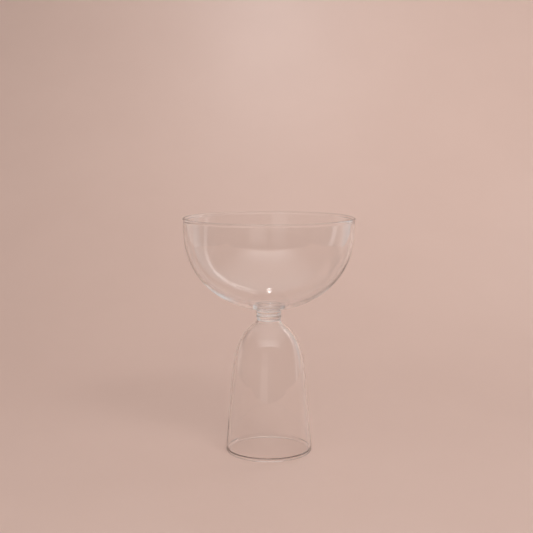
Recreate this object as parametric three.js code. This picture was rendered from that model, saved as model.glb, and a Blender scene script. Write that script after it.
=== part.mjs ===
// Coupe glass of clear lamp-worked glass, in millimetres, +Z up.
// A thin round-bottomed bowl sits on two small stacked rings, and the rings sit on a hollow bell-shaped foot
// that is open underneath. The pieces are turned shapes on one common axis and meet on flat round seats, where
// the real glass is fused while hot. The origin is the centre of the foot's resting face.

import * as THREE from 'three';

// ---- Driving dimensions (mm) --------------------------------------------------------------------------------

const SEGMENTS = 48; // facets around the axis

// Levels along the axis
const FOOT_SEAT_Z = 79.1; // top of the bell foot, where the lower ring is fused on
const GROOVE_Z = 81.35; // the groove between the two rings
const BOWL_SEAT_Z = 83.5; // underside of the bowl, where the upper ring is fused on
const TOTAL_HEIGHT = 138; // top of the drinking rim

// Bowl
const RIM_RADIUS = 50; // outermost radius, on the fire-polished rim bead
const BOWL_RADIUS = 49.66; // outside of the wall just below the rim bead
const BOWL_POLE_Z = 83.465; // lowest point of the outside curve, inside the seat
const BOWL_TOP_Z = 137.442; // level where the outside curve stands upright
const BOWL_HEIGHT_POWER = 2.689; // fullness of the outside curve along the axis
const BOWL_RADIUS_POWER = 1.774; // fullness of the outside curve across the axis
const BOWL_WALL = 1.0; // wall of the sides, at the rim
const BOWL_FLOOR = 1.9; // wall at the bottom
const BOWL_FLOOR_POWER = 2.6; // how soon the wall thins from the bottom up
const BOWL_FLARE_RADIUS = 12; // radius at which the underside leaves the round curve and runs down to the seat
const RIM_BEAD_WIDTH = 1.45; // fire-polished bead across the wall
const RIM_BEAD_RISE = 0.72; // from the middle of the bead to the top of the rim

// Rings
const RING_RADIUS = 7.35; // the widest part of each ring
const RING_SEAT_RADIUS = 7.0; // round seat at the bowl
const RING_GROOVE_RADIUS = 6.55; // bottom of the groove between the rings

// Bell foot
const FOOT_RADIUS = 25.4; // outermost radius, just above the table
const FOOT_TAPER_RADIUS = 25.513; // the tapered wall carried down to the table
const FOOT_TAPER = 0.0803; // loss of radius per millimetre of height
const FOOT_TOP_Z = 79.274; // the dome carried up to the axis
const FOOT_HEIGHT_POWER = 8.273; // fullness of the dome along the axis
const FOOT_RADIUS_POWER = 1.404; // fullness of the dome across the axis
const FOOT_SHOULDER_Z = 73; // level where the dome passes into a hollow cone that runs up to the seat
const FOOT_SEAT_RADIUS = 6.8; // round seat at the top of the foot
const FOOT_SEAT_LEAN = -0.06; // change of radius per millimetre of height at the seat
const FOOT_WALL = 1.0; // wall of the bell
const FOOT_CORNER_Z = 78; // level of the outside at which the wall ends and the hollow's ceiling begins
const FOOT_CEILING_Z = 78.05; // top of the hollow inside
const FOOT_BEAD_WIDTH = 2.0; // fire-polished bead at the open end
const FOOT_BEAD_RISE = 0.95; // from the table to the middle of that bead
const FOOT_BEAD_TOP_Z = 2.3; // level where the bead has run out into the wall
const FOOT_LAND_WIDTH = 0.8; // flat ring that rests on the table

// ---- Profiles (radius, height) --------------------------------------------------------------------------------

// Outside of the bowl: t runs from 0 on the axis to a quarter turn at the rim.
function bowlOutside(t) {
  const r = BOWL_RADIUS * Math.pow(Math.sin(t), 2 / BOWL_RADIUS_POWER);
  const z = BOWL_TOP_Z - (BOWL_TOP_Z - BOWL_POLE_Z) * Math.pow(Math.cos(t), 2 / BOWL_HEIGHT_POWER);
  return new THREE.Vector2(r, z);
}

// Inside of the bowl: the outside curve set in by the wall, which thickens towards the floor.
function bowlInside(t) {
  const p = bowlOutside(t);
  if (t === 0) return new THREE.Vector2(0, p.y + BOWL_FLOOR);
  const d = 1e-4;
  const along = bowlOutside(t + d).sub(bowlOutside(t - d)).normalize();
  const wall = BOWL_WALL + (BOWL_FLOOR - BOWL_WALL) * Math.pow(Math.cos(t), BOWL_FLOOR_POWER);
  return new THREE.Vector2(Math.max(0, p.x - along.y * wall), p.y + along.x * wall);
}

// Angle on the outside curve at which it reaches a given radius.
function bowlAngleAtRadius(r) {
  return Math.asin(Math.pow(r / BOWL_RADIUS, BOWL_RADIUS_POWER / 2));
}

// Angle on the outside curve at which it reaches a given height.
function bowlAngleAtHeight(z) {
  return Math.acos(Math.pow((BOWL_TOP_Z - z) / (BOWL_TOP_Z - BOWL_POLE_Z), BOWL_HEIGHT_POWER / 2));
}

// Tapered dome of the foot, before its top is drawn up to the seat.
function footDome(z) {
  const fall = 1 - Math.pow(Math.max(0, z) / FOOT_TOP_Z, FOOT_HEIGHT_POWER);
  return (FOOT_TAPER_RADIUS - FOOT_TAPER * z) * Math.pow(Math.max(0, fall), 1 / FOOT_RADIUS_POWER);
}

// Outside radius of the foot: the dome, and above its shoulder a hollow cone up to the seat.
function footOutside(z) {
  if (z <= FOOT_SHOULDER_Z) return footDome(z);
  const span = FOOT_SEAT_Z - FOOT_SHOULDER_Z;
  const t = (z - FOOT_SHOULDER_Z) / span;
  const lean = (footDome(FOOT_SHOULDER_Z + 0.01) - footDome(FOOT_SHOULDER_Z - 0.01)) / 0.02;
  const t2 = t * t;
  const t3 = t2 * t;
  return (
    (2 * t3 - 3 * t2 + 1) * footDome(FOOT_SHOULDER_Z) +
    (t3 - 2 * t2 + t) * span * lean +
    (3 * t2 - 2 * t3) * FOOT_SEAT_RADIUS +
    (t3 - t2) * span * FOOT_SEAT_LEAN
  );
}

// The point of the hollow that lies one wall inside the outside at height z.
function footInside(z) {
  const lean = (footOutside(z + 0.005) - footOutside(z - 0.005)) / 0.01;
  const n = Math.hypot(1, lean);
  return new THREE.Vector2(footOutside(z) - FOOT_WALL / n, z + (FOOT_WALL * lean) / n);
}

// Points on an arc of an ellipse, angles in degrees from +radius towards +height.
function bead(centreR, centreZ, halfR, halfZ, from, to, steps) {
  const points = [];
  for (let i = 0; i <= steps; i++) {
    const a = THREE.MathUtils.degToRad(from + ((to - from) * i) / steps);
    points.push(new THREE.Vector2(centreR + halfR * Math.cos(a), centreZ + halfZ * Math.sin(a)));
  }
  return points;
}

function bowlProfile() {
  const beadR = RIM_RADIUS - RIM_BEAD_WIDTH / 2;
  const beadZ = TOTAL_HEIGHT - RIM_BEAD_RISE;
  const from = bowlAngleAtRadius(BOWL_FLARE_RADIUS);
  const to = bowlAngleAtHeight(beadZ - 1.3);
  const points = [new THREE.Vector2(0, BOWL_SEAT_Z), new THREE.Vector2(RING_SEAT_RADIUS, BOWL_SEAT_Z)];
  // The underside runs up from the seat in a short flare.
  const round = bowlOutside(from);
  const flare = new THREE.CubicBezierCurve(
    points[1],
    new THREE.Vector2(RING_SEAT_RADIUS + 0.25, BOWL_SEAT_Z + 0.75),
    new THREE.Vector2(round.x - 2.4, round.y - 0.5),
    round,
  );
  for (const s of [0.25, 0.5, 0.75, 1]) points.push(flare.getPoint(s));
  const outside = 14;
  for (let i = 1; i <= outside; i++) points.push(bowlOutside(from + ((to - from) * i) / outside));
  points.push(...bead(beadR, beadZ, RIM_BEAD_WIDTH / 2, RIM_BEAD_RISE, 0, 180, 8));
  const inside = 14;
  for (let i = 0; i < inside; i++) points.push(bowlInside(to - (to * i) / inside));
  points.push(bowlInside(0));
  return points;
}

function footProfile() {
  const beadR = FOOT_RADIUS - FOOT_BEAD_WIDTH / 2;
  const corner = footInside(FOOT_CORNER_Z);
  const ceiling = new THREE.CubicBezierCurve(
    new THREE.Vector2(0, FOOT_CEILING_Z),
    new THREE.Vector2(3.2, FOOT_CEILING_Z),
    new THREE.Vector2(corner.x - 0.9, corner.y + 0.55),
    corner,
  );
  const points = [0, 0.4, 0.75, 1].map((s) => ceiling.getPoint(s));
  const inside = [76.9, 75.6, 74.2, 72.4, 70, 67, 63.2, 58.4, 52, 43, 32, 20, 9, FOOT_BEAD_TOP_Z];
  for (const z of inside) points.push(footInside(z));
  points.push(...bead(beadR, FOOT_BEAD_RISE, FOOT_BEAD_WIDTH / 2, FOOT_BEAD_RISE, 180, 232, 3));
  points.push(new THREE.Vector2(beadR - FOOT_LAND_WIDTH / 2, 0), new THREE.Vector2(beadR + FOOT_LAND_WIDTH / 2, 0));
  points.push(...bead(beadR, FOOT_BEAD_RISE, FOOT_BEAD_WIDTH / 2, FOOT_BEAD_RISE, 308, 360, 3));
  const outside = [FOOT_BEAD_TOP_Z, 9, 20, 32, 43, 52, 58.4, 63.2, 67, 70, 72.4, 74.2, 75.8, 77.4, FOOT_SEAT_Z];
  for (const z of outside) points.push(new THREE.Vector2(footOutside(z), z));
  points.push(new THREE.Vector2(0, FOOT_SEAT_Z));
  return points;
}

// A ring with a bulged side between a lower and an upper round seat.
function ringProfile(lowZ, highZ, lowR, highR) {
  const points = [new THREE.Vector2(0, lowZ), new THREE.Vector2(lowR, lowZ)];
  const steps = 6;
  for (let i = 1; i < steps; i++) {
    const s = i / steps;
    const seat = lowR + (highR - lowR) * s;
    const bulge = Math.pow(Math.sin(Math.PI * s), 0.6);
    points.push(new THREE.Vector2(seat + (RING_RADIUS - seat) * bulge, lowZ + (highZ - lowZ) * s));
  }
  points.push(new THREE.Vector2(highR, highZ), new THREE.Vector2(0, highZ));
  return points;
}

// ---- Pieces ---------------------------------------------------------------------------------------------------

function turned(name, profile, material) {
  const geometry = new THREE.LatheGeometry(profile, SEGMENTS);
  geometry.rotateX(Math.PI / 2); // the turning axis becomes +Z
  const mesh = new THREE.Mesh(geometry, material);
  mesh.name = name;
  return mesh;
}

function clearGlass() {
  return new THREE.MeshStandardMaterial({
    color: 0xf1f4f3,
    roughness: 0.03,
    metalness: 0,
    transparent: true,
    opacity: 0.3,
  });
}

const coupe = new THREE.Group();
coupe.add(turned('bell_foot', footProfile(), clearGlass()));
coupe.add(turned('lower_neck_ring', ringProfile(FOOT_SEAT_Z, GROOVE_Z, FOOT_SEAT_RADIUS, RING_GROOVE_RADIUS), clearGlass()));
coupe.add(turned('upper_neck_ring', ringProfile(GROOVE_Z, BOWL_SEAT_Z, RING_GROOVE_RADIUS, RING_SEAT_RADIUS), clearGlass()));
coupe.add(turned('bowl', bowlProfile(), clearGlass()));

export default coupe;
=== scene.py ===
import math

import bpy
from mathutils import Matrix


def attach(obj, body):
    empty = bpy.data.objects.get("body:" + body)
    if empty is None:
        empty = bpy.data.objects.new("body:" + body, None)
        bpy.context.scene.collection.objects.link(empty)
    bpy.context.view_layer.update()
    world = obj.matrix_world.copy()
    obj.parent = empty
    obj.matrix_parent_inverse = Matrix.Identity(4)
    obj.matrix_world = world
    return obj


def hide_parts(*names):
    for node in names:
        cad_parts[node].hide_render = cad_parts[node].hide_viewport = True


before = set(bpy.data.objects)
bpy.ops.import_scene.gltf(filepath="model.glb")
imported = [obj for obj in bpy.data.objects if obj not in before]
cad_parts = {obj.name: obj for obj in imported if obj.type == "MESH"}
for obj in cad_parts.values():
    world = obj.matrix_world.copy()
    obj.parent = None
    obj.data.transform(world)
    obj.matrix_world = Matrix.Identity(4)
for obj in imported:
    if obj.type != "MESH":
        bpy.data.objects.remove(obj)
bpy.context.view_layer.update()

scene = bpy.context.scene
MM = 0.001

# ---------------------------------------------------------------------------------------------------------------
# Camera: a normal lens a little above the rim, looking slightly down. The picture is 533 pixels square.
# ---------------------------------------------------------------------------------------------------------------
IMAGE = 533
FOCAL_PX = 1020.0
PITCH = 7.27
cam_data = bpy.data.cameras.new("photo_camera")
cam_data.sensor_fit = "HORIZONTAL"
cam_data.sensor_width = 36.0
cam_data.lens = FOCAL_PX * 36.0 / IMAGE
cam_data.clip_start, cam_data.clip_end = 0.01, 20.0
cam = bpy.data.objects.new("photo_camera", cam_data)
scene.collection.objects.link(cam)
cam.location = (-1.39 * MM, -588.3 * MM, 184.4 * MM)
cam.rotation_euler = (math.radians(90.0 - PITCH), 0.0, 0.0)
scene.camera = cam

# ---------------------------------------------------------------------------------------------------------------
# Dimensions of the glass, in millimetres, as in the construction model
# ---------------------------------------------------------------------------------------------------------------
FOOT_SEAT_Z, GROOVE_Z, BOWL_SEAT_Z, TOTAL_HEIGHT = 79.1, 81.35, 83.5, 138.0
RIM_RADIUS, BOWL_RADIUS, BOWL_POLE_Z, BOWL_TOP_Z = 50.0, 49.66, 83.465, 137.442
BOWL_HEIGHT_POWER, BOWL_RADIUS_POWER = 2.689, 1.774
BOWL_WALL, BOWL_FLOOR, BOWL_FLOOR_POWER = 1.0, 1.9, 2.6
RIM_BEAD_WIDTH, RIM_BEAD_RISE = 1.45, 0.72
BOWL_FLARE_RADIUS = 12.0
RING_RADIUS, RING_SEAT_RADIUS, RING_GROOVE_RADIUS, FOOT_SEAT_RADIUS = 7.35, 7.0, 6.55, 6.8
FOOT_RADIUS, FOOT_TAPER_RADIUS, FOOT_TAPER = 25.4, 25.513, 0.0803
FOOT_TOP_Z, FOOT_HEIGHT_POWER, FOOT_RADIUS_POWER = 79.274, 8.273, 1.404
FOOT_WALL, FOOT_CEILING_Z = 1.0, 78.05
FOOT_SHOULDER_Z, FOOT_CORNER_Z, FOOT_SEAT_LEAN = 73.0, 78.0, -0.06
FOOT_BEAD_WIDTH, FOOT_BEAD_RISE, FOOT_LAND_WIDTH, FOOT_BEAD_TOP_Z = 2.0, 0.95, 0.8, 2.3


def smooth(a, b, x):
    t = min(1.0, max(0.0, (x - a) / (b - a)))
    return t * t * (3.0 - 2.0 * t)


# ---------------------------------------------------------------------------------------------------------------
# Profiles (radius, height), finely stepped
# ---------------------------------------------------------------------------------------------------------------
def bowl_outside(t):
    r = BOWL_RADIUS * math.sin(t) ** (2.0 / BOWL_RADIUS_POWER) if t > 0 else 0.0
    c = max(0.0, math.cos(t))
    return r, BOWL_TOP_Z - (BOWL_TOP_Z - BOWL_POLE_Z) * c ** (2.0 / BOWL_HEIGHT_POWER)


def bowl_inside(t):
    r, z = bowl_outside(t)
    if t <= 0:
        return 0.0, z + BOWL_FLOOR
    d = 1e-4
    (r0, z0), (r1, z1) = bowl_outside(max(0.0, t - d)), bowl_outside(t + d)
    ar, az = r1 - r0, z1 - z0
    n = math.hypot(ar, az)
    wall = BOWL_WALL + (BOWL_FLOOR - BOWL_WALL) * math.cos(t) ** BOWL_FLOOR_POWER
    return max(0.0, r - az / n * wall), z + ar / n * wall


def bowl_angle_at_radius(r):
    return math.asin((r / BOWL_RADIUS) ** (BOWL_RADIUS_POWER / 2.0))


def bowl_angle_at_height(z):
    return math.acos(((BOWL_TOP_Z - z) / (BOWL_TOP_Z - BOWL_POLE_Z)) ** (BOWL_HEIGHT_POWER / 2.0))


def foot_dome(z):
    fall = max(0.0, 1.0 - (max(z, 0.0) / FOOT_TOP_Z) ** FOOT_HEIGHT_POWER)
    return (FOOT_TAPER_RADIUS - FOOT_TAPER * z) * fall ** (1.0 / FOOT_RADIUS_POWER)


def foot_outside(z):
    """Outside radius: a tapered dome, and above its shoulder a hollow cone up to the seat."""
    if z <= FOOT_SHOULDER_Z:
        return foot_dome(z)
    span = FOOT_SEAT_Z - FOOT_SHOULDER_Z
    t = (z - FOOT_SHOULDER_Z) / span
    lean = (foot_dome(FOOT_SHOULDER_Z + 0.01) - foot_dome(FOOT_SHOULDER_Z - 0.01)) / 0.02
    return ((2 * t ** 3 - 3 * t * t + 1) * foot_dome(FOOT_SHOULDER_Z) + (t ** 3 - 2 * t * t + t) * span * lean
            + (3 * t * t - 2 * t ** 3) * FOOT_SEAT_RADIUS + (t ** 3 - t * t) * span * FOOT_SEAT_LEAN)


def foot_inside(z):
    """The point of the hollow that lies one wall inside the outside at height z."""
    m = (foot_outside(z + 0.005) - foot_outside(z - 0.005)) / 0.01
    n = math.hypot(1.0, m)
    return foot_outside(z) - FOOT_WALL / n, z + FOOT_WALL * m / n


def bezier(p0, p1, p2, p3, n, start=1):
    out = []
    for i in range(start, n + 1):
        s = i / n
        a, b, c, d = (1 - s) ** 3, 3 * s * (1 - s) ** 2, 3 * s * s * (1 - s), s ** 3
        out.append((a * p0[0] + b * p1[0] + c * p2[0] + d * p3[0], a * p0[1] + b * p1[1] + c * p2[1] + d * p3[1]))
    return out


def ellipse(cr, cz, hr, hz, a0, a1, n):
    out = []
    for i in range(n + 1):
        a = math.radians(a0 + (a1 - a0) * i / n)
        out.append((cr + hr * math.cos(a), cz + hz * math.sin(a)))
    return out


def bowl_profile():
    """From the seat on the axis, up the outside, over the rim bead and down the inside to the axis."""
    bead_r, bead_z = RIM_RADIUS - RIM_BEAD_WIDTH / 2, TOTAL_HEIGHT - RIM_BEAD_RISE
    pts = [(0.0, BOWL_SEAT_Z)] + [(RING_SEAT_RADIUS * i / 4, BOWL_SEAT_Z) for i in range(1, 5)]
    seat = len(pts) - 1
    t0, t1 = bowl_angle_at_radius(BOWL_FLARE_RADIUS), bowl_angle_at_height(bead_z - 1.3)
    r0, z0 = bowl_outside(t0)
    pts += bezier((RING_SEAT_RADIUS, BOWL_SEAT_Z), (RING_SEAT_RADIUS + 0.25, BOWL_SEAT_Z + 0.75), (r0 - 2.4, z0 - 0.5), (r0, z0), 12)
    n = 64
    pts += [bowl_outside(t0 + (t1 - t0) * i / n) for i in range(1, n + 1)]
    ro, zo = pts[-1]
    pts += bezier((ro, zo), (ro + 0.01, zo + 0.5), (RIM_RADIUS, bead_z - 0.5), (RIM_RADIUS, bead_z), 8)[:-1]
    pts += ellipse(bead_r, bead_z, RIM_BEAD_WIDTH / 2, RIM_BEAD_RISE, 0, 180, 24)
    ri, zi = bowl_inside(t1)
    pts += bezier((RIM_RADIUS - RIM_BEAD_WIDTH, bead_z), (RIM_RADIUS - RIM_BEAD_WIDTH, bead_z - 0.5), (ri - 0.01, zi + 0.5), (ri, zi), 8)
    pts += [bowl_inside(t1 - t1 * i / n) for i in range(1, n)]
    pts.append(bowl_inside(0.0))
    return pts, {i for i in range(seat)}


def ring_profile(low_z, high_z, low_r, high_r):
    pts = [(0.0, low_z)] + [(low_r * i / 4, low_z) for i in range(1, 5)]
    n = 20
    seats = set(range(4))
    for i in range(1, n):
        s = 0.5 - 0.5 * math.cos(math.pi * i / n)
        seat = low_r + (high_r - low_r) * s
        bulge = math.sin(math.pi * s) ** 0.6
        pts.append((seat + (RING_RADIUS - seat) * bulge, low_z + (high_z - low_z) * s))
    first = len(pts)
    pts += [(high_r * i / 4, high_z) for i in range(4, 0, -1)] + [(0.0, high_z)]
    seats |= set(range(first, first + 4))
    return pts, seats


def foot_profile():
    """From the hollow's top on the axis, down the inside, round the resting edge, up the outside to the seat."""
    bead_r = FOOT_RADIUS - FOOT_BEAD_WIDTH / 2
    rc, zc = foot_inside(FOOT_CORNER_Z)
    pts = [(0.0, FOOT_CEILING_Z)] + bezier((0.0, FOOT_CEILING_Z), (3.2, FOOT_CEILING_Z), (rc - 0.9, zc + 0.55), (rc, zc), 14)
    n, z_low = 84, FOOT_BEAD_TOP_Z
    for i in range(1, n + 1):  # closer steps towards the top, where the wall turns
        pts.append(foot_inside(FOOT_CORNER_Z + (z_low - FOOT_CORNER_Z) * (i / n) ** 1.6))
    ri, zi = pts[-1]
    pts += bezier((ri, zi), (ri + 0.03, zi - 0.4), (FOOT_RADIUS - FOOT_BEAD_WIDTH, FOOT_BEAD_RISE + 0.55), (FOOT_RADIUS - FOOT_BEAD_WIDTH, FOOT_BEAD_RISE), 10)[:-1]
    pts += ellipse(bead_r, FOOT_BEAD_RISE, FOOT_BEAD_WIDTH / 2, FOOT_BEAD_RISE, 180, 244, 9)
    pts += [(bead_r - FOOT_LAND_WIDTH / 2 + FOOT_LAND_WIDTH * i / 4, 0.0) for i in range(5)]
    pts += ellipse(bead_r, FOOT_BEAD_RISE, FOOT_BEAD_WIDTH / 2, FOOT_BEAD_RISE, 296, 360, 9)
    pts += bezier((FOOT_RADIUS, FOOT_BEAD_RISE), (FOOT_RADIUS, FOOT_BEAD_RISE + 0.5), (foot_outside(z_low) + 0.03, z_low - 0.4), (foot_outside(z_low), z_low), 10)
    for i in range(1, n + 1):
        pts.append((foot_outside(FOOT_SEAT_Z + (z_low - FOOT_SEAT_Z) * (1 - i / n) ** 1.6), FOOT_SEAT_Z + (z_low - FOOT_SEAT_Z) * (1 - i / n) ** 1.6))
    first = len(pts) - 1
    pts += [(FOOT_SEAT_RADIUS * i / 4, FOOT_SEAT_Z) for i in range(3, 0, -1)] + [(0.0, FOOT_SEAT_Z)]
    return pts, set(range(first, len(pts) - 1))


# ---------------------------------------------------------------------------------------------------------------
# Turned meshes with the small unevenness of glass shaped by hand in a flame
# ---------------------------------------------------------------------------------------------------------------
def bowl_ripple(theta, r, z, inner):
    w = smooth(9.0, 22.0, r)
    out = 0.045 * math.cos(2 * theta + 0.7) + 0.02 * math.cos(3 * theta + 2.1) - 0.068
    if inner:
        out += 0.03 * math.cos(3 * theta + 0.4 + 0.02 * z) + 0.014 * math.cos(5 * theta + 1.9) + 0.006 * math.cos(11 * theta + 0.3)
    return w * out


def foot_ripple(theta, r, z, inner):
    w = smooth(77.0, 60.0, z)
    out = 0.035 * math.cos(2 * theta + 1.9) + 0.02 * math.cos(3 * theta + 0.2) - 0.058
    if inner:
        out += 0.03 * math.cos(3 * theta + 2.4 - 0.015 * z) + 0.016 * math.cos(5 * theta + 0.6) + 0.006 * math.cos(9 * theta + 1.1)
    return w * out


def turned(name, profile, seats, segments, ripple=None, inner_from=None, inner_to=None):
    """A closed turned mesh. Profile steps in seats become faces of the second material."""
    verts, rings = [], []
    for i, (r, z) in enumerate(profile):
        if r < 1e-9:
            rings.append([len(verts)])
            verts.append((0.0, 0.0, z * MM))
            continue
        ring = []
        for j in range(segments):
            a = 2.0 * math.pi * j / segments
            rr = r
            if ripple is not None:
                rr += ripple(a, r, z, inner_from <= i <= inner_to)
            ring.append(len(verts))
            verts.append((rr * math.cos(a) * MM, rr * math.sin(a) * MM, z * MM))
        rings.append(ring)
    faces, slots = [], []
    for i in range(len(rings) - 1):
        a, b = rings[i], rings[i + 1]
        slot = 1 if i in seats else 0
        for j in range(segments):
            k = (j + 1) % segments
            if len(a) == 1:
                faces.append((a[0], b[k], b[j]))
            elif len(b) == 1:
                faces.append((a[j], a[k], b[0]))
            else:
                faces.append((a[j], a[k], b[k], b[j]))
            slots.append(slot)
    mesh = bpy.data.meshes.new(name)
    mesh.from_pydata(verts, [], faces)
    mesh.update()
    mesh.polygons.foreach_set("material_index", slots)
    mesh.polygons.foreach_set("use_smooth", [True] * len(faces))
    # the rim of each fused seat is a crease between the seat and the side
    kinds = {}
    for f, s in zip(mesh.polygons, slots):
        for e in f.edge_keys:
            kinds.setdefault(e, set()).add(s)
    crease = [len(kinds.get(tuple(sorted(e.vertices)), ())) > 1 for e in mesh.edges]
    mesh.edges.foreach_set("use_edge_sharp", crease) if "use_edge_sharp" in mesh.edges[0].bl_rna.properties else None
    obj = bpy.data.objects.new(name, mesh)
    scene.collection.objects.link(obj)
    return obj


bowl_pts, bowl_seats = bowl_profile()
foot_pts, foot_seats = foot_profile()
lower_pts, lower_seats = ring_profile(FOOT_SEAT_Z, GROOVE_Z, FOOT_SEAT_RADIUS, RING_GROOVE_RADIUS)
upper_pts, upper_seats = ring_profile(GROOVE_Z, BOWL_SEAT_Z, RING_GROOVE_RADIUS, RING_SEAT_RADIUS)

top_of_rim = max(range(len(bowl_pts)), key=lambda i: bowl_pts[i][1])
under_foot = min(range(len(foot_pts)), key=lambda i: foot_pts[i][1] + 1e-6 * i)
bowl = turned("bowl_clear_glass", bowl_pts, bowl_seats, 224, bowl_ripple, top_of_rim + 1, len(bowl_pts))
foot = turned("bell_foot_clear_glass", foot_pts, foot_seats, 176, foot_ripple, 0, under_foot - 1)
lower = turned("lower_neck_ring_clear_glass", lower_pts, lower_seats, 128)
upper = turned("upper_neck_ring_clear_glass", upper_pts, upper_seats, 128)


# ---------------------------------------------------------------------------------------------------------------
# Materials
# ---------------------------------------------------------------------------------------------------------------
def new_material(name):
    m = bpy.data.materials.new(name)
    m.use_nodes = True
    nt = m.node_tree
    nt.nodes.clear()
    out = nt.nodes.new("ShaderNodeOutputMaterial")
    bsdf = nt.nodes.new("ShaderNodeBsdfPrincipled")
    nt.links.new(bsdf.outputs["BSDF"], out.inputs["Surface"])
    return m, nt, bsdf


def node(nt, kind, **settings):
    n = nt.nodes.new(kind)
    for k, v in settings.items():
        if k in n.inputs:
            n.inputs[k].default_value = v
        else:
            setattr(n, k, v)
    return n


def clear_glass(name, tint_a, tint_b, around, seed):
    """Clear glass: drawn-out striae along the axis, faint clouding of the polish, a hair of tint."""
    m, nt, bsdf = new_material(name)
    link = nt.links.new
    bsdf.inputs["Transmission Weight"].default_value = 1.0
    bsdf.inputs["IOR"].default_value = 1.472
    bsdf.inputs["Metallic"].default_value = 0.0
    place = node(nt, "ShaderNodeTexCoord")
    long = node(nt, "ShaderNodeMapping")
    long.inputs["Scale"].default_value = (around, around, around * 0.045)
    long.inputs["Location"].default_value = (seed, seed * 0.37, seed * 1.71)
    link(place.outputs["Object"], long.inputs["Vector"])
    striae = node(nt, "ShaderNodeTexNoise", Scale=1.0, Detail=3.0, Roughness=0.55)
    link(long.outputs["Vector"], striae.inputs["Vector"])
    soft = node(nt, "ShaderNodeTexNoise", Scale=70.0, Detail=2.0, Roughness=0.5)
    link(place.outputs["Object"], soft.inputs["Vector"])
    both = node(nt, "ShaderNodeMix", data_type="FLOAT")
    both.inputs[0].default_value = 0.35
    link(striae.outputs["Fac"], both.inputs[2])
    link(soft.outputs["Fac"], both.inputs[3])
    bump = node(nt, "ShaderNodeBump", Strength=0.035, Distance=0.0006)
    link(both.outputs[0], bump.inputs["Height"])
    link(bump.outputs["Normal"], bsdf.inputs["Normal"])
    cloud = node(nt, "ShaderNodeTexNoise", Scale=38.0, Detail=5.0, Roughness=0.6)
    link(place.outputs["Object"], cloud.inputs["Vector"])
    polish = node(nt, "ShaderNodeMapRange")
    polish.inputs["From Min"].default_value, polish.inputs["From Max"].default_value = 0.35, 0.75
    polish.inputs["To Min"].default_value, polish.inputs["To Max"].default_value = 0.0, 0.028
    link(cloud.outputs["Fac"], polish.inputs["Value"])
    link(polish.outputs["Result"], bsdf.inputs["Roughness"])
    tint = node(nt, "ShaderNodeValToRGB")
    tint.color_ramp.elements[0].position, tint.color_ramp.elements[0].color = 0.3, (*tint_a, 1.0)
    tint.color_ramp.elements[1].position, tint.color_ramp.elements[1].color = 0.7, (*tint_b, 1.0)
    link(striae.outputs["Fac"], tint.inputs["Fac"])
    link(tint.outputs["Color"], bsdf.inputs["Base Color"])
    return m


bowl_glass = clear_glass("bowl_glass", (0.994, 0.989, 0.984), (0.999, 0.998, 0.997), 210.0, 3.1)
neck_glass = clear_glass("neck_glass", (0.988, 0.985, 0.980), (0.998, 0.997, 0.995), 320.0, 7.7)
foot_glass = clear_glass("foot_glass", (0.994, 0.989, 0.984), (0.999, 0.998, 0.997), 260.0, 11.3)

# inside the fused seats there is no surface, so the seats show nothing
fused, fused_tree, fused_bsdf = new_material("fused_seat")
fused_bsdf.inputs["Alpha"].default_value = 0.0
fused_bsdf.inputs["Roughness"].default_value = 1.0

for obj, mat, cad, slot in (
    (bowl, bowl_glass, "bowl", "bowl_glass"),
    (upper, neck_glass, "upper_neck_ring", "neck_glass"),
    (lower, neck_glass, "lower_neck_ring", "neck_glass"),
    (foot, foot_glass, "bell_foot", "foot_glass"),
):
    obj.data.materials.append(mat)
    obj.data.materials.append(fused)
    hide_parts(cad)
    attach(obj, "root")

# ---------------------------------------------------------------------------------------------------------------
# Stage: a plain pale satin sheet that runs level under the glass and curves up behind it, on a plain oval floor
# ---------------------------------------------------------------------------------------------------------------
SHEET_FRONT, SHEET_BEND, SHEET_RADIUS, SHEET_HALF, SHEET_TOP = -0.31, 0.12, 0.80, 0.46, 0.42


def maths(nt, op, a, b=None, c=None, clamp=False):
    """A Math node; a, b and c are numbers or sockets."""
    n = nt.nodes.new("ShaderNodeMath")
    n.operation, n.use_clamp = op, clamp
    for i, v in enumerate((a, b, c)):
        if v is None:
            continue
        if isinstance(v, (int, float)):
            n.inputs[i].default_value = v
        else:
            nt.links.new(v, n.inputs[i])
    return n.outputs[0]


def ease(nt, value, x0, x1, y0=0.0, y1=1.0):
    """A smooth step of a socket from y0 at x0 to y1 at x1."""
    n = nt.nodes.new("ShaderNodeMapRange")
    n.interpolation_type = "SMOOTHSTEP"
    nt.links.new(value, n.inputs["Value"])
    for k, v in (("From Min", x0), ("From Max", x1), ("To Min", y0), ("To Max", y1)):
        n.inputs[k].default_value = v
    return n.outputs["Result"]


def blend(nt, fac, a, b):
    """Mix two colours, each a tuple or a socket."""
    n = nt.nodes.new("ShaderNodeMix")
    n.data_type = "RGBA"
    nt.links.new(fac, n.inputs[0])
    for i, v in ((6, a), (7, b)):
        if isinstance(v, tuple):
            n.inputs[i].default_value = (*v, 1.0)
        else:
            nt.links.new(v, n.inputs[i])
    return n.outputs[2]


def satin(name):
    """Plain pale satin: one colour with a soft mottling and a fine grain."""
    m, nt, bsdf = new_material(name)
    link = nt.links.new
    place = node(nt, "ShaderNodeTexCoord")
    mottle = node(nt, "ShaderNodeTexNoise", Scale=9.0, Detail=4.0, Roughness=0.55)
    link(place.outputs["Object"], mottle.inputs["Vector"])
    link(blend(nt, ease(nt, mottle.outputs["Fac"], 0.3, 0.7), SATIN_A, SATIN_B), bsdf.inputs["Base Color"])
    grain = node(nt, "ShaderNodeTexNoise", Scale=900.0, Detail=2.0, Roughness=0.5)
    link(place.outputs["Object"], grain.inputs["Vector"])
    bump = node(nt, "ShaderNodeBump", Strength=0.05, Distance=0.0004)
    link(grain.outputs["Fac"], bump.inputs["Height"])
    link(bump.outputs["Normal"], bsdf.inputs["Normal"])
    bsdf.inputs["Roughness"].default_value = 0.45
    return m


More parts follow.
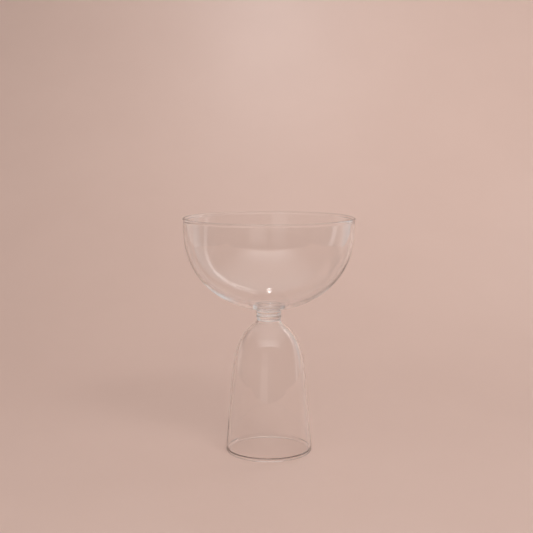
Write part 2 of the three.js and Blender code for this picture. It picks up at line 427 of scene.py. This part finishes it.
SATIN_A, SATIN_B = (0.765, 0.555, 0.480), (0.780, 0.568, 0.492)
FLOOR_FRONT, FLOOR_SIDE, FLOOR_BACK = 0.39, 0.50, 1.0


def sheet():
    line = [(SHEET_FRONT + (SHEET_BEND - SHEET_FRONT) * i / 20, 0.0) for i in range(21)]
    for i in range(1, 61):
        a = math.pi / 2 * i / 60
        line.append((SHEET_BEND + SHEET_RADIUS * math.sin(a), SHEET_RADIUS * (1 - math.cos(a))))
    y, z = line[-1]
    line += [(y, z + SHEET_TOP * i / 6) for i in range(1, 7)]
    cols = 24
    verts = [(-SHEET_HALF + 2 * SHEET_HALF * j / cols, y, z) for y, z in line for j in range(cols + 1)]
    w = cols + 1
    faces = [(i * w + j, i * w + j + 1, (i + 1) * w + j + 1, (i + 1) * w + j) for i in range(len(line) - 1) for j in range(cols)]
    mesh = bpy.data.meshes.new("studio_sheet")
    mesh.from_pydata(verts, [], faces)
    mesh.polygons.foreach_set("use_smooth", [True] * len(faces))
    mesh.update()
    obj = bpy.data.objects.new("studio_sheet", mesh)
    scene.collection.objects.link(obj)
    obj.data.materials.append(satin("satin_sheet"))


def floor():
    n = 96
    verts = [(0.0, 0.0, -0.0006)]
    for j in range(n):
        a = 2 * math.pi * j / n
        verts.append((FLOOR_SIDE * math.cos(a), math.sin(a) * (FLOOR_BACK if math.sin(a) > 0 else FLOOR_FRONT), -0.0006))
    mesh = bpy.data.meshes.new("studio_floor")
    mesh.from_pydata(verts, [], [(0, 1 + j, 1 + (j + 1) % n) for j in range(n)])
    mesh.update()
    obj = bpy.data.objects.new("studio_floor", mesh)
    scene.collection.objects.link(obj)
    obj.data.materials.append(satin("satin_floor"))


sheet()
floor()


# ---------------------------------------------------------------------------------------------------------------
# Light: one large soft box over the front, small lamps, and a dim room with a strip and a window of light
# ---------------------------------------------------------------------------------------------------------------
def aimed(obj, target):
    d = obj.location - obj.location.__class__(target)
    obj.rotation_euler = d.to_track_quat("Z", "Y").to_euler()


def area(name, place, target, size, size_y, watts, colour=(1.0, 1.0, 1.0), shape="RECTANGLE"):
    light = bpy.data.lights.new(name, "AREA")
    light.shape, light.size, light.size_y, light.energy, light.color = shape, size, size_y, watts, colour
    obj = bpy.data.objects.new(name, light)
    scene.collection.objects.link(obj)
    obj.location = place
    aimed(obj, target)
    return obj


def soft_box(name, x0, x1, y0, y1, z, colour, near, far, reach):
    """A level panel of light above the scene: brightest in the middle of its front edge, fading to the sides and back."""
    mesh = bpy.data.meshes.new(name)
    mesh.from_pydata([(x0, y0, z), (x1, y0, z), (x1, y1, z), (x0, y1, z)], [], [(3, 2, 1, 0)])
    mesh.update()
    obj = bpy.data.objects.new(name, mesh)
    scene.collection.objects.link(obj)
    m = bpy.data.materials.new(name)
    m.use_nodes = True
    nt = m.node_tree
    nt.nodes.clear()
    out = nt.nodes.new("ShaderNodeOutputMaterial")
    glow = node(nt, "ShaderNodeEmission")
    glow.inputs["Color"].default_value = (*colour, 1.0)
    place = node(nt, "ShaderNodeTexCoord")
    xyz = node(nt, "ShaderNodeSeparateXYZ")
    nt.links.new(place.outputs["Object"], xyz.inputs["Vector"])
    side = ease(nt, maths(nt, "ABSOLUTE", maths(nt, "SUBTRACT", xyz.outputs["X"], 0.05)), 0.35, 1.5, 1.0, 0.10)
    back = ease(nt, xyz.outputs["Y"], y0, y0 + reach, near, far)
    nt.links.new(maths(nt, "MULTIPLY", side, back), glow.inputs["Strength"])
    nt.links.new(glow.outputs["Emission"], out.inputs["Surface"])
    obj.data.materials.append(m)


soft_box("front_soft_box", -2.3, 2.3, -1.40, 0.68, 1.17, (0.99, 0.992, 0.982), 1.60, 0.62, 1.05)
back = area("back_lamp", (0.0, 0.555, 1.08), (0.0, 0.0, 0.09), 0.065, 0.065, 1.6, (0.97, 0.98, 1.0), "DISK")
back.visible_diffuse = False
# lamps that only light the floor and the backdrop; the fill throws no shadow, as clear glass lets most light through
for lamp in (
    area("key_lamp", (0.52, -0.87, 1.12), (0.0, 0.0, 0.06), 0.42, 0.42, 2.5, (1.0, 0.99, 0.972), "DISK"),
    area("fill_lamp", (0.52, -0.87, 1.12), (0.0, 0.0, 0.06), 0.42, 0.42, 3.4, (1.0, 0.99, 0.972), "DISK"),
    area("wall_lamp", (0.32, 0.02, 1.05), (0.22, 0.78, 0.30), 0.8, 0.5, 0.8, (1.0, 0.985, 0.975)),
):
    lamp.visible_glossy = False
    lamp.data.spread = math.radians(80 if lamp.name == "wall_lamp" else 180)
    lamp.visible_transmission = False
    lamp.data.use_shadow = lamp.name != "fill_lamp"

world = bpy.data.worlds.new("dim_room")
scene.world = world
world.use_nodes = True
wt = world.node_tree
wt.nodes.clear()
w_out = wt.nodes.new("ShaderNodeOutputWorld")
w_bg = wt.nodes.new("ShaderNodeBackground")
w_place = wt.nodes.new("ShaderNodeTexCoord")
w_xyz = wt.nodes.new("ShaderNodeSeparateXYZ")
wt.links.new(w_place.outputs["Generated"], w_xyz.inputs["Vector"])
wx, wy, wz = w_xyz.outputs
w_az = maths(wt, "ARCTAN2", wx, maths(wt, "MULTIPLY", wy, -1.0))  # 0 in front, a quarter turn on the right
w_turn = maths(wt, "ABSOLUTE", w_az)
room = blend(wt, ease(wt, w_turn, math.radians(98), math.radians(125)), (0.15, 0.11, 0.094), (0.52, 0.41, 0.37))
low = maths(wt, "MULTIPLY", ease(wt, w_turn, math.radians(104), math.radians(116)), ease(wt, wz, 0.17, 0.10))
room = blend(wt, low, room, (0.62, 0.50, 0.455))
window = maths(wt, "MULTIPLY", ease(wt, w_az, math.radians(112), math.radians(120)), ease(wt, w_az, math.radians(150), math.radians(137)))
window = maths(wt, "MULTIPLY", window, ease(wt, wz, 0.80, 0.66))
room = blend(wt, window, room, (0.56, 0.60, 0.62))
dim = maths(wt, "MULTIPLY", ease(wt, w_az, math.radians(-98), math.radians(-108)), ease(wt, w_az, math.radians(-152), math.radians(-143)))
dim = maths(wt, "MULTIPLY", dim, maths(wt, "MULTIPLY", ease(wt, wz, 0.13, 0.19), ease(wt, wz, 0.46, 0.36)))
room = blend(wt, dim, room, (0.10, 0.075, 0.065))
across = maths(wt, "ADD", maths(wt, "MULTIPLY", wx, 0.157), maths(wt, "ADD", maths(wt, "MULTIPLY", wy, -0.8205), maths(wt, "MULTIPLY", wz, 0.5494)))
strip = maths(wt, "MULTIPLY", ease(wt, maths(wt, "ABSOLUTE", across), 0.075, 0.045), ease(wt, wx, 0.10, 0.20))
room = blend(wt, strip, room, blend(wt, ease(wt, wx, 0.96, 0.60), (1.0, 1.0, 1.0), (2.5, 2.5, 2.5)))
front = maths(wt, "MULTIPLY", ease(wt, maths(wt, "ABSOLUTE", maths(wt, "ADD", w_az, math.radians(15))), math.radians(15), math.radians(7)), maths(wt, "MULTIPLY", ease(wt, wz, 0.56, 0.30, 0.0, 1.0), ease(wt, wz, -0.30, -0.2)))
room = blend(wt, front, room, blend(wt, ease(wt, wz, 0.18, 0.08), (0.46, 0.42, 0.40), (0.66, 0.61, 0.58)))
wt.links.new(room, w_bg.inputs["Color"])
wt.links.new(w_bg.outputs["Background"], w_out.inputs["Surface"])

# ---------------------------------------------------------------------------------------------------------------
# Light paths long enough for glass behind glass, and plain display colours
# ---------------------------------------------------------------------------------------------------------------
scene.cycles.max_bounces = 128
scene.cycles.transmission_bounces = 128
scene.cycles.transparent_max_bounces = 64
scene.cycles.glossy_bounces = 96
scene.cycles.diffuse_bounces = 4
scene.cycles.caustics_refractive = True
scene.cycles.caustics_reflective = True
scene.cycles.blur_glossy = 0.0
scene.cycles.sample_clamp_indirect = 12.0
scene.cycles.use_denoising = True
scene.view_settings.view_transform = "Standard"
scene.view_settings.look = "None"
scene.view_settings.exposure = 0.16
scene.view_settings.gamma = 1.0
